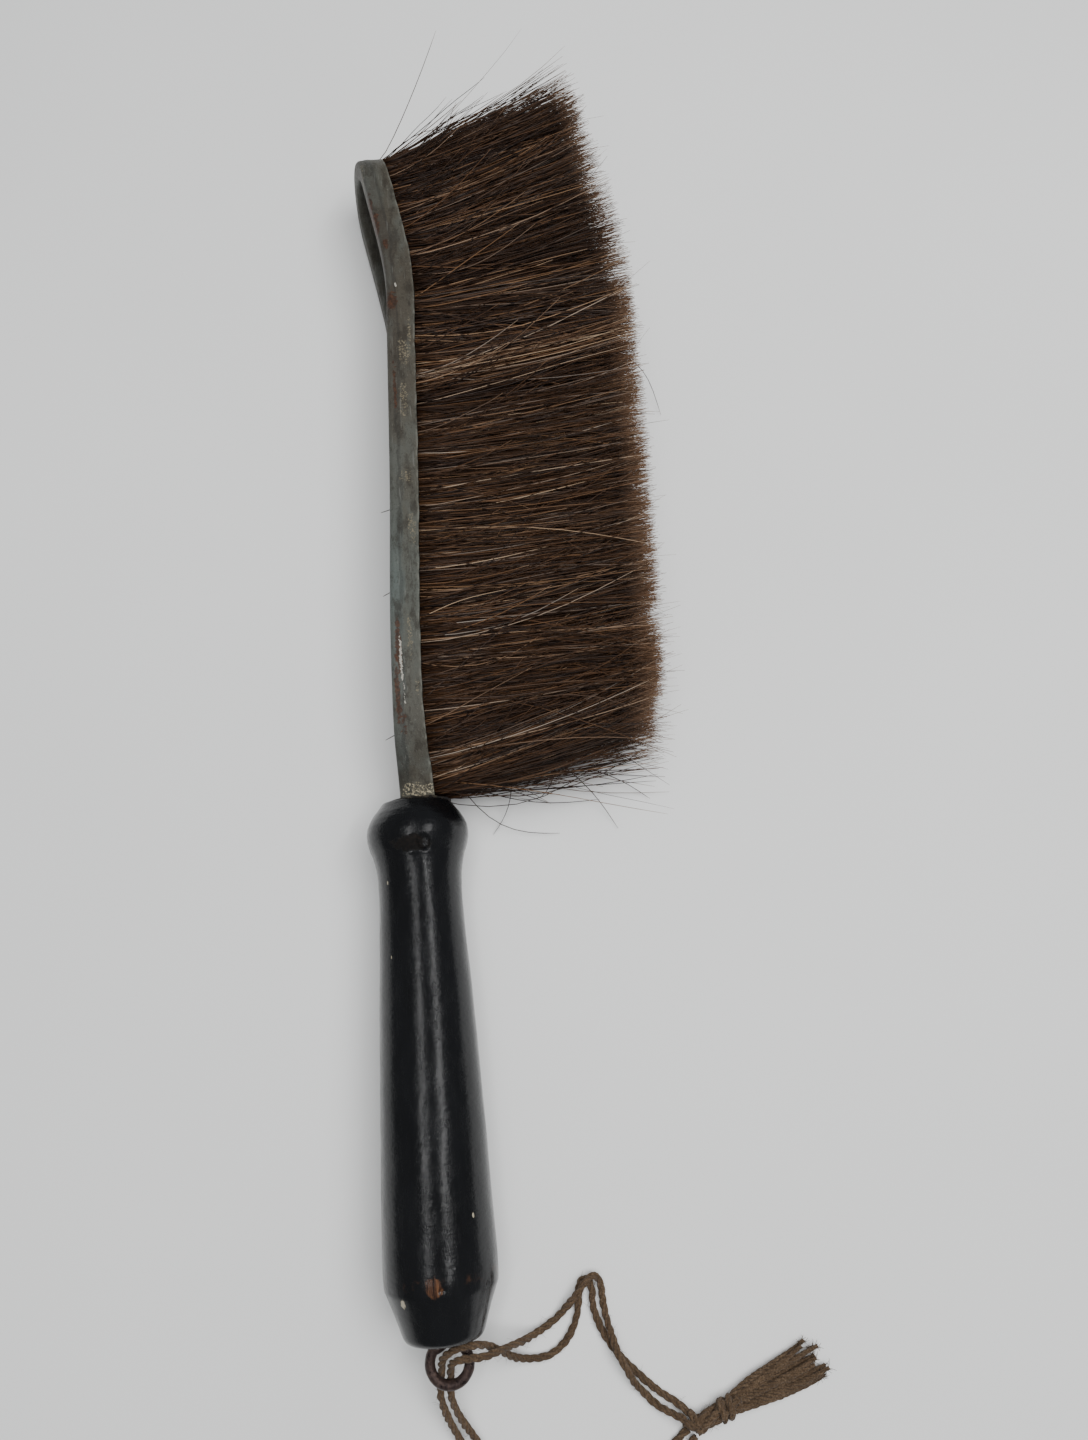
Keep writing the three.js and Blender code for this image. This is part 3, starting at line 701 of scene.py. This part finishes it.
def make_eye():
    start, turn = math.radians(140), math.radians(278)
    angle = start + turn * np.linspace(0, 1, 19)
    ring = np.stack([EYE_CENTRE[0] + EYE_R * np.cos(angle), EYE_CENTRE[1] + EYE_R * np.sin(angle)], 1)
    shank = np.array([(0, 33), (0, 24), (0, 14), (0, 7), (0, 5.3), (-0.35, 4.5), (-1.2, 3.95)], float)
    flat = np.vstack([shank, ring])
    points = resample(catmull(np.column_stack([flat, np.full(len(flat), AXIS_Z)]), 12), 0.35)
    along = lengths(points)
    taper = np.minimum(1, 0.25 + 0.75 * along / 9)
    ends = np.sqrt(np.clip((along[-1] - along) / 0.5, 0.12, 1))
    radius = EYE_WIRE_R * taper * ends * (1 + 0.025 * wobble(along, 2, (2.3, 3.9, 7.1)))
    verts, faces = tube(points, radius, 24)
    verts += 0.03 * bumpy(verts, 0.7, 3)[:, None] * unit(verts - np.repeat(points, 24, axis=0))
    piece = make_piece("eye_wire", verts, faces, RUST)
    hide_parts("screw_eye")


make_eye()


def core_look():
    look = Look("wire_drawn", 0.5, metallic=0.8)
    look.colour(look.ramp(look.noise(1200, 3.0), (0.35, (0.06, 0.055, 0.05)), (0.7, (0.16, 0.15, 0.13))))
    return look


def keep_node(name, look):
    """Gives a CAD node that keeps its own shape its material."""
    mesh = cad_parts[name].data
    mesh.materials.clear()
    mesh.materials.append(look.material)


keep_node("core_wire", core_look())

# ---- handle ----


def lacquer_look():
    look = Look("lacquer_black", 0.3, IOR=1.45)
    cloudy = look.noise(120, 4.0, 0.6, (1, 0.4, 1))
    grain = look.noise(1500, 4.0, 0.65, (1, 0.12, 1))
    base = look.ramp(cloudy, (0.35, (0.0028, 0.003, 0.0036)), (0.65, (0.0052, 0.0055, 0.0064)))
    # A patch of brown wear round the rim.
    patchy = look.spot((0, 18.9, AXIS_Z), (17.0, 1.3, 17.0), 0.5, 420)
    patchy = look.times(patchy, look.range(look.noise(260, 3.0), 0.5, 0.66))
    base = look.mix(look.times(patchy, 0.5), base, (0.06, 0.028, 0.015))
    wood = look.ramp(grain, (0.38, (0.014, 0.006, 0.004)), (0.55, (0.07, 0.03, 0.014)),
                     (0.72, (0.2, 0.09, 0.04)))
    base = look.spotted(base, wood, BARE, 700, 0.8)
    base = look.spotted(base, (0.34, 0.3, 0.22), SPECKS, 1500)
    scuffs = look.noise(700, 5.0, 0.7, (1, 0.25, 1))
    chipped = look.spot((-0.6, NAIL_Y, 24.0), (4.4, 1.9, 3.0), 0.5, 700)
    base = look.mix(chipped, base, look.ramp(look.noise(1400, 4.0, 0.7), (0.4, (0.002, 0.0016, 0.0014)),
                                             (0.62, (0.006, 0.004, 0.003)), (0.75, (0.022, 0.011, 0.006))))
    look.colour(base)
    rough = look.range(scuffs, 0.35, 0.7, 0.16, 0.32)
    look.rough(look.mix(chipped, rough, (0.7, 0.7, 0.7)))
    look.bump(look.noise(60, 3.0, 0.5), 0.0006, 0.2)
    cone_y, body_y = (float(to_row((0, y, 0))[1]) for y in (17.0, 22.0))
    on_body = look.range(look.axis("Y"), cone_y, body_y, 0.25, 1.0)
    ticks = look.noise(900, 3.0, 0.7, (0.6, 1.6, 0.6))
    look.bump(look.times(ticks, on_body), 0.00009, 1.0)
    look.bump(grain, 0.00003, 0.4)
    return look


BARE = [
    ((-0.4, 18.4, 25.4), (1.9, 1.9, 2.0), 0.45),
    ((-3.0, 14.6, 4.0), (1.8, 1.6, 1.6), 0.8),
]
SPECKS = [
    ((-7.3, 15.2, 22.2), (0.5, 1.0, 1.1), 0.5),
    ((-6.9, 104.5, 20.1), (0.15, 0.4, 0.4), 0.5),
    ((8.6, 31.3, 21.8), (0.2, 0.5, 0.5), 0.5),
    ((-6.7, 87.4, 20.8), (0.1, 0.35, 0.3), 0.5),
]

BODY = [
    (12.55, 16.4), (HANDLE_R - 0.05, 18.0), (HANDLE_R, 19.6), (12.7, 24.2), (12.35, 37), (11.75, 56),
    (10.95, 78), (10.35, 90), (10.0, 99), (10.05, 104.5), (10.3, 107.8), (11.0, 111.2), (11.85, 113.6),
    (12.3, 116), (12.15, 118.2), (11.5, 119.9), (10.4, 121.7), (9.2, 123.2),
]
RIM_Y = 18.0
MOUTH_Y = 123.0
CHIP_DEPTH = 0.45
NAIL_X, NAIL_Y = 2.3, 113.0
NAIL_SEAT = 0.55  # mm that the nail's head is sunk
SOCKET_R = 8.0
SOCKET_FLOOR = HANDLE_TOP - 18
SCREW_HOLE_R = 1.3


def handle_profile():
    """Radius and y from the screw hole's inner end, over the outside, to the socket's floor."""
    body = resample(catmull(BODY, 16, alpha=0.0), 0.45)
    end = [(0.02, 33.5), (SCREW_HOLE_R, 33.4), (SCREW_HOLE_R, HANDLE_END + 0.15), (1.6, HANDLE_END),
           (4.5, HANDLE_END), (7.3, HANDLE_END), (7.9, HANDLE_END + 0.1), (8.45, HANDLE_END + 0.4),
           (8.9, HANDLE_END + 1.0)]
    cone = [(9.0 + (12.55 - 9.0) * t - 0.12 * math.sin(math.pi * t), 6.7 + (16.4 - 6.7) * t)
            for t in np.linspace(0.05, 0.95, 18)]
    mouth = [(8.75, 123.8), (8.45, HANDLE_TOP), (8.2, HANDLE_TOP), (SOCKET_R, HANDLE_TOP - 0.3),
             (SOCKET_R, 115.0), (SOCKET_R, SOCKET_FLOOR + 0.1), (SOCKET_R - 0.1, SOCKET_FLOOR),
             (0.02, SOCKET_FLOOR)]
    return np.vstack([end, cone, body, mouth])


def make_handle():
    profile = handle_profile()
    sides = 180
    angle = np.arange(sides) * 2 * math.pi / sides
    radius = profile[:, 0][:, None] * np.ones(sides)
    y = profile[:, 1][:, None] * np.ones(sides)
    outside = (radius > 8.1) & (profile[:, 1][:, None] < 123.6)
    points = np.stack([radius * np.cos(angle), y, AXIS_Z + radius * np.sin(angle)], -1).reshape(-1, 3)
    dents = 0.1 * bumpy(points, 14.0, 1) + 0.03 * bumpy(points, 3.5, 5)
    chipped = CHIP_DEPTH * smoothstep(bumpy(points * (1, 2.2, 1), 2.6, 9), 0.45, 0.75)
    near_edge = np.exp(-((points[:, 1] - RIM_Y) / 1.3) ** 2)
    near_edge = near_edge + np.exp(-((points[:, 1] - MOUTH_Y) / 1.6) ** 2)
    turning = 0.02 * np.sin(points[:, 1] * 4.1) * (points[:, 1] > 104)
    push = (dents + turning - chipped * near_edge) * outside.reshape(-1)
    from_nail = np.hypot(points[:, 0] - NAIL_X, points[:, 1] - NAIL_Y)
    seat = (1 - smoothstep(from_nail, 1.25, 1.95)) * outside.reshape(-1) * (points[:, 2] > AXIS_Z)
    push = push - NAIL_SEAT * seat
    push = np.minimum(push, np.where(points[:, 2] < 3, 0.0, 1.0))
    points[:, 0] += push * np.tile(np.cos(angle), len(profile))
    points[:, 2] += push * np.tile(np.sin(angle), len(profile))
    points[:, 2] = np.maximum(points[:, 2], 0.0)
    faces = [tuple(reversed(face)) for face in grid_faces(len(profile), sides)]
    piece = make_piece("handle_turned", points, faces, LACQUER)
    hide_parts("handle")


LACQUER = lacquer_look()
make_handle()
keep_node("retaining_nail", LACQUER)

# ---- cement ----


def cement_look():
    look = Look("cement_crust", 0.75)
    lumps = look.noise(900, 5.0, 0.7)
    look.colour(look.ramp(lumps, (0.45, (0.006, 0.005, 0.005)), (0.6, (0.03, 0.024, 0.016)),
                          (0.7, (0.3, 0.25, 0.17))))
    look.bump(lumps, 0.0005, 0.8)
    return look


CEMENT = cement_look()
keep_node("cement_collar", CEMENT)


def make_crust():
    """A lumpy bead of cement where the channel's ends leave the handle."""
    centre = np.array([0.9, HANDLE_TOP, AXIS_Z])
    turns = np.linspace(0, 2 * math.pi, 96, endpoint=False)
    wide, tall = 4.9, 6.2
    bead = 12
    around = np.arange(bead) * 2 * math.pi / bead
    points = []
    for turn in turns:
        way = np.array([math.cos(turn), 0, math.sin(turn)])
        squared = (abs(way[0] / wide) ** 3.2 + abs(way[2] / tall) ** 3.2) ** (-1 / 3.2)
        thick = 0.75 + 0.3 * float(wobble(turn * 4, 4, (3.0, 5.3, 1.9)))
        for a in around:
            rise = np.array([0, thick * 0.9 * math.sin(a), 0])
            points.append(centre + way * (squared + thick * math.cos(a)) + rise)
    points = np.array(points)
    points += 0.16 * bumpy(points, 0.8, 6)[:, None]
    faces = grid_faces(len(turns), bead, closed_rings=True)
    make_piece("cement_bead", points, faces, CEMENT)


make_crust()

# ---- hair ----

HAIR_POINTS = 9
LOCK_W = 3.4  # mm along the channel that one lock takes
LOCK_OUT = 3.0  # about as much across the tuft, at the tips
HEEL_LEAN = 9.0  # mm that the tips at the handle's end lie further towards the nose
HEEL_LEAN_REACH = 34.0
HEEL_CUT = 4.0  # mm that the hair beside the handle is shorter
NOSE_LEAN = 7.0
BROKEN_SHARE = 0.16
LONG_SHARE = 0.03
CROSSING_SHARE = 0.18
PALE_SHARE = 0.14
NOSE_DARKER = 0.13


def hair_look():
    look = Look("horsehair_fibre", 0.4, Specular_IOR_Level=0.4)
    tone = look.attribute("tone")
    share = look.attribute("share")
    warm = look.ramp(tone, (0.0, (0.011, 0.0045, 0.002)), (0.3, (0.032, 0.0155, 0.0075)),
                     (0.55, (0.08, 0.039, 0.0185)), (0.74, (0.175, 0.094, 0.046)),
                     (0.88, (0.26, 0.155, 0.085)), (1.0, (0.34, 0.24, 0.155)))
    grey = look.ramp(tone, (0.0, (0.009, 0.006, 0.005)), (0.5, (0.04, 0.03, 0.026)),
                     (0.8, (0.13, 0.108, 0.092)), (1.0, (0.3, 0.26, 0.225)))
    body = look.mix(look.attribute("greyness"), warm, grey)
    tip = look.ramp(tone, (0.0, (0.07, 0.036, 0.019)), (0.5, (0.19, 0.105, 0.06)),
                    (1.0, (0.46, 0.33, 0.22)))
    look.colour(look.mix(look.range(share, 0.86, 1.0, 0.0, 0.9), body, tip))
    return look


HAIR = hair_look()


def lock_pull(w, u, seed):
    """For each hair, its lock's centre along the channel and the lock's own four random numbers."""
    random = np.random.default_rng(seed)
    columns = np.floor((w + 1000) / LOCK_W + 0.35 * np.sin(u * 2.1)).astype(int)
    offsets = random.uniform(-0.5, 0.5, 4096)
    levels = np.floor((u * 7 + 20) / LOCK_OUT + offsets[columns % 4096]).astype(int)
    cell = (columns * 37 + levels * 101) % 4096
    table = random.normal(size=(4096, 4))
    centre = (columns + 0.5) * LOCK_W - 1000 + 0.3 * LOCK_W * table[cell, 0]
    return centre, table[cell]


def lean(path):
    """How far the tips lie towards the nose, in mm."""
    y = path["y"]
    heel = HEEL_LEAN * (1 - smoothstep(y, HAIR_START, HAIR_START + HEEL_LEAN_REACH))
    along_rows = 3.0 + heel + 1.5 * smoothstep(y, 190, 250) + NOSE_LEAN * smoothstep(y, 245, TURN_Y)
    return along_rows * (1 - np.sin(path["angle"])) + 1.0


def hair_lines(w, u, seed, loose=1.0):
    """Lines of points for hairs rooted at w along the hairpin and at u, -1 inside to 1 outside."""
    random = np.random.default_rng(seed)
    count = len(w)
    path = hairpin(w)
    centre, lock = lock_pull(w, u, seed)
    nose = np.sin(path["angle"]) ** 2
    outer = HAIR_FLARE + (NOSE_FLARE - HAIR_FLARE) * nose
    inner = np.minimum(ROW_INNER, path["half"] - 0.5)
    inner = np.maximum(inner, HAIR_HALF)
    spread = np.where(u > 0, u * (outer + HAIR_HALF), u * inner)
    spread = spread + loose * (0.55 * random.normal(size=count) + 0.6 * lock[:, 1])
    free = HAIR_FREE + 0.28 * random.normal(size=count) + 0.35 * lock[:, 3]
    free = free - 1.5 * random.random(count) ** 5
    free = free - HEEL_CUT * (1 - smoothstep(path["y"], HAIR_START, HAIR_START + 12)) * (nose < 0.001)
    free = free + (random.random(count) < LONG_SHARE) * random.uniform(0.5, 3.0, count)
    broken = random.random(count) < BROKEN_SHARE
    free = free * np.where(broken, random.uniform(0.35, 0.97, count), 1.0)
    sweep = lean(path) + (centre - w) * 0.4 + 3.2 * lock[:, 2] + loose * 2.6 * random.normal(size=count)
    crossing = random.random(count) < CROSSING_SHARE * loose
    sweep = sweep + crossing * random.normal(size=count) * 9.0
    bow = loose * random.normal(size=count) * 1.2 + crossing * random.normal(size=count) * 2.5
    lift = loose * random.normal(size=count) * 0.5
    wave = random.uniform(0.05, 0.28, count) * loose
    phase = random.uniform(0, 2 * math.pi, count)
    turns = random.uniform(0.8, 2.2, count)
    s = np.linspace(0, 1, HAIR_POINTS)[None, :, None]

    def per_hair(values):
        return values[:, None, None]

    start = path["at"] + path["out"] * (u * HAIR_HALF * 0.95)[:, None]
    start = start + path["reach"] * (path["depth"] / 2 - 1.5)[:, None]
    start = start + path["along"] * (0.25 * random.normal(size=count))[:, None]
    arch = np.sin(math.pi * s)
    lines = start[:, None] + path["reach"][:, None] * per_hair(free + 1.5) * s
    lines = lines + path["out"][:, None] * (per_hair(spread) * s ** 1.15 + per_hair(lift) * arch)
    shifted = per_hair(sweep) * s ** 1.45 + per_hair(bow) * arch
    shifted = shifted + per_hair(wave) * np.sin(per_hair(phase) + 2 * math.pi * per_hair(turns) * s) * s
    lines = lines + path["along"][:, None] * shifted
    turned = phase[:, None] + 2 * math.pi * turns[:, None] * s[..., 0]
    lines[..., 2] += per_hair(wave)[..., 0] * np.cos(turned)
    return lines, lock


def settle(lines, random):
    """Lays the hairs that would pass through the surface down on it, one over another."""
    floor = 0.15 + 1.3 * random.random(len(lines)) ** 2
    low = floor[:, None] * np.ones(lines.shape[1])
    z = lines[..., 2]
    lines[..., 2] = np.where(z < low + 1.0, low + np.exp(np.minimum(z - low - 1.0, 0)), z)
    return lines


def unwrap_hairs(mesh, count, steps):
    """Gives each hair a square of its own, its three sides next to one another, roots to tips."""
    i, j = np.meshgrid(np.arange(steps - 1), np.arange(3), indexing="ij")
    quads = np.stack([j, i, j + 1, i, j + 1, i + 1, j, i + 1], -1).reshape(-1, 2) / (3.0, steps - 1.0)
    caps = np.array([(0.4, 0), (0.5, 0.05), (0.6, 0), (0.4, 1), (0.5, 0.95), (0.6, 1)])
    across = int(math.ceil(math.sqrt(count)))
    index = np.arange(count)
    corner = np.stack([index % across, index // across], 1)[:, None] + 0.08
    places = [((corner + 0.84 * part[None]) / across).reshape(-1, 2) for part in (quads, caps)]
    layer = mesh.uv_layers.new(name="OFBake")
    layer.data.foreach_set("uv", np.vstack(places).reshape(-1))


def hair_mesh(name, lines, tones, thick):
    """One piece of hairs, each a closed three-sided tube that narrows to its tip."""
    count, steps = lines.shape[:2]
    along = unit(np.gradient(lines, axis=1))
    across = unit(np.cross(along, (0.13, 0.2, 1.0)))
    other = np.cross(along, across)
    share = np.linspace(0, 1, steps)
    narrowing = 1 - 0.45 * share ** 3
    narrowing[-1] = 0.3
    radius = thick[:, None] * narrowing[None]
    angle = np.arange(3) * 2 * math.pi / 3
    ring = across[:, :, None] * np.cos(angle)[:, None] + other[:, :, None] * np.sin(angle)[:, None]
    points = (lines[:, :, None] + ring * radius[:, :, None, None]).reshape(-1, 3)
    i, j = np.meshgrid(np.arange(steps - 1), np.arange(3), indexing="ij")
    k = (j + 1) % 3
    quads = np.stack([i * 3 + j, i * 3 + k, (i + 1) * 3 + k, (i + 1) * 3 + j], -1).reshape(-1, 4)
    base = (np.arange(count) * steps * 3)[:, None]
    quads = (base[:, :, None] + quads[None]).reshape(-1)
    last = (steps - 1) * 3
    caps = (base + np.array([2, 1, 0, last, last + 1, last + 2])[None]).reshape(-1)
    mesh = bpy.data.meshes.new(name)
    mesh.vertices.add(len(points))
    mesh.vertices.foreach_set("co", to_row(points).reshape(-1))
    sizes = np.concatenate([np.full(len(quads) // 4, 4), np.full(len(caps) // 3, 3)])
    mesh.loops.add(len(quads) + len(caps))
    mesh.loops.foreach_set("vertex_index", np.concatenate([quads, caps]).astype(np.int32))
    mesh.polygons.add(len(sizes))
    mesh.polygons.foreach_set("loop_start", np.concatenate([[0], np.cumsum(sizes)[:-1]]).astype(np.int32))
    mesh.update(calc_edges=True)
    mesh.polygons.foreach_set("use_smooth", np.ones(len(sizes), bool))
    unwrap_hairs(mesh, count, steps)
    each = steps * 3
    mark(mesh, "tone", np.repeat(tones, each))
    mark(mesh, "share", np.tile(np.repeat(share, 3), count))
    mark(mesh, "greyness", np.repeat(np.random.default_rng(count).random(count) ** 2.2, each))
    mesh.materials.append(HAIR.material)
    piece = into_scene(name, mesh)
    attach(piece, "root")
    return piece


def hair_tones(random, lock, count):
    tone = 0.35 + 0.09 * lock[:, 3] + 0.19 * random.normal(size=count)
    pale = random.random(count) < PALE_SHARE
    return np.clip(tone + pale * random.uniform(0.15, 0.42, count), 0, 1)


def make_tuft(name, low, high, count, seed, replaced):
    random = np.random.default_rng(seed + 70)
    w = random.uniform(low, high, count)
    u = random.uniform(-1, 1, count)
    lines, lock = hair_lines(w, u, seed)
    thick = HAIR_R * random.uniform(0.75, 1.2, count)
    darker = NOSE_DARKER * smoothstep(TURN_Y + QUARTER - np.abs(w), 235, 285)
    tones = np.clip(hair_tones(random, lock, count) - darker, 0, 1)
    piece = hair_mesh(name, settle(lines, random), tones, thick)
    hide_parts(replaced)


ROW = TURN_Y - HAIR_START
STRAYS = 260
HEEL_STRAYS = 70
NOSE_STRAYS = 20


def make_strays():
    """Single hairs that stand away from the rest, some curled."""
    random = np.random.default_rng(12)
    count = STRAYS
    heel, nose = slice(0, HEEL_STRAYS), slice(HEEL_STRAYS, HEEL_STRAYS + NOSE_STRAYS)
    w = random.uniform(-(ROW + QUARTER), ROW + QUARTER, count)
    w[heel] = random.uniform(-(ROW + QUARTER), -(ROW + QUARTER) + 22, HEEL_STRAYS)
    w[nose] = random.uniform(-QUARTER - 20, QUARTER, NOSE_STRAYS)
    u = random.uniform(0.2, 1.0, count)
    lines, _ = hair_lines(w, u, 77, loose=2.6)
    s = np.linspace(0, 1, HAIR_POINTS)
    stretch = random.uniform(0.94, 1.1, count)
    lines = lines[:, :1] + (lines - lines[:, :1]) * stretch[:, None, None]
    lines[:, :, 2] += (random.uniform(-1, 3.5, count)[:, None] * s ** 2)
    curl = random.normal(size=count) * 3.2
    curl[heel] -= 3.5
    lines[:, :, 1] += curl[:, None] * s ** 3
    tones = random.uniform(0.2, 0.62, count)
    hair_mesh("hair_strays", settle(lines, random), tones, HAIR_R * random.uniform(0.5, 0.85, count))


LOOSE = [  # root, where the tip lies on the surface, and how far the hair bows to its left
    ((10, 130, 8), (35, 116), -4.5),
    ((24, 131, 8), (18, 117), 1.5),
    ((36, 132, 12), (50, 116), 1.5),
    ((44, 131, 6), (59, 123), 1.0),
    ((12, 129, 14), (33, 124), 1.0),
    ((35, 130, 12), (25, 126), 3.0),
    ((13, 128, 10), (46, 124), -2.0),
    ((8, 128, 16), (36, 126), 0.5),
    ((58, 241, 22), (74, 233), 7.0),
]
SHORT_ENDS = [((-1.5, 200.5), -0.5), ((-2, 178), -1.2), ((-3, 140.5), -1.2)]  # behind the channel


def loose_hair(root, tip, bow):
    s = np.linspace(0, 1, HAIR_POINTS)[:, None]
    root, tip = np.array(root, float), np.array((*tip, 0.8))
    across = unit(np.cross((0, 0, 1.0), (tip - root) * (1, 1, 0)))
    line = root + (tip - root) * s + across * bow * np.sin(math.pi * s)
    line[:, 2] = tip[2] + (root[2] - tip[2]) * (1 - s[:, 0]) ** 1.6
    return line


def make_loose():
    """Single hairs beside the heel and past the tips, and short ends that poke out behind the channel."""
    lines = [loose_hair(*hair) for hair in LOOSE]
    for (x, y), rise in SHORT_ENDS:
        s = np.linspace(0, 1, HAIR_POINTS)[:, None]
        lines.append(np.array((x, y, 20.0)) + np.array((-3.0, rise, -0.6)) * s)
    count = len(lines)
    hair_mesh("hair_loose", np.stack(lines), np.full(count, 0.16), HAIR_R * np.full(count, 0.95))


HEEL, MIDDLE = ROW + QUARTER, ROW / 2 + QUARTER
HAIR_PIECES = [  # where each begins and ends along the hairpin, its hairs and the node that it replaces
    ("hair_upper_heel", -HEEL, -MIDDLE, 3700, "hair_upper_row"),
    ("hair_upper_toe", -MIDDLE, -QUARTER, 3700, "hair_upper_row"),
    ("hair_nose_fan", -QUARTER, QUARTER, 2000, "hair_nose"),
    ("hair_lower_toe", QUARTER, MIDDLE, 3000, "hair_lower_row"),
    ("hair_lower_heel", MIDDLE, HEEL, 3000, "hair_lower_row"),
]
for order, (hair_name, begin, end, hairs, node) in enumerate(HAIR_PIECES, 1):
    make_tuft(hair_name, begin, end, hairs, order, node)
make_strays()
make_loose()

# ---- floor and light ----


def make_floor():
    look = Look("floor_pale", 0.75, Specular_IOR_Level=0.25)
    look.colour(look.ramp(look.noise(6, 3.0), (0.35, (0.75, 0.755, 0.75)), (0.65, (0.78, 0.785, 0.78))))
    mesh = bpy.data.meshes.new("floor")
    size = 3.0
    corners = [(-size, -size, 0), (size, -size, 0), (size, size, 0), (-size, size, 0)]
    mesh.from_pydata(corners, [], [(0, 1, 2, 3)])
    mesh.materials.append(look.material)
    floor = into_scene("floor", mesh)


def area_light(name, at, along, width, length, power, glossy=True):
    """A rectangle of light at a place of the brush frame in mm, facing down at the brush, long one way."""
    data = bpy.data.lights.new(name, "AREA")
    data.shape = "RECTANGLE"
    data.size, data.size_y = width, length
    data.energy = power
    light = into_scene(name, data)
    back = Vector(to_row(at)).normalized()
    across = Vector(along).cross(back).normalized()
    light.matrix_world = placed(at, across, back.cross(across), back)
    light.visible_glossy = glossy


def make_light():
    world = bpy.data.worlds.new("studio")
    world.use_nodes = True
    background = world.node_tree.nodes["Background"]
    background.inputs["Color"].default_value = (0.94, 0.97, 1.0, 1)
    background.inputs["Strength"].default_value = 0.2
    bpy.context.scene.world = world
    tubes = (0.5, 0.87, 0)
    area_light("tube_left", (-262, 100, 1200), tubes, 0.04, 0.75, 1.9)
    area_light("tube_right", (600, 100, 1200), tubes, 0.04, 0.75, 2.7)
    area_light("ceiling", (230, 200, 850), (0, 1, 0), 0.85, 0.85, 11.0, glossy=False)


make_floor()
make_light()
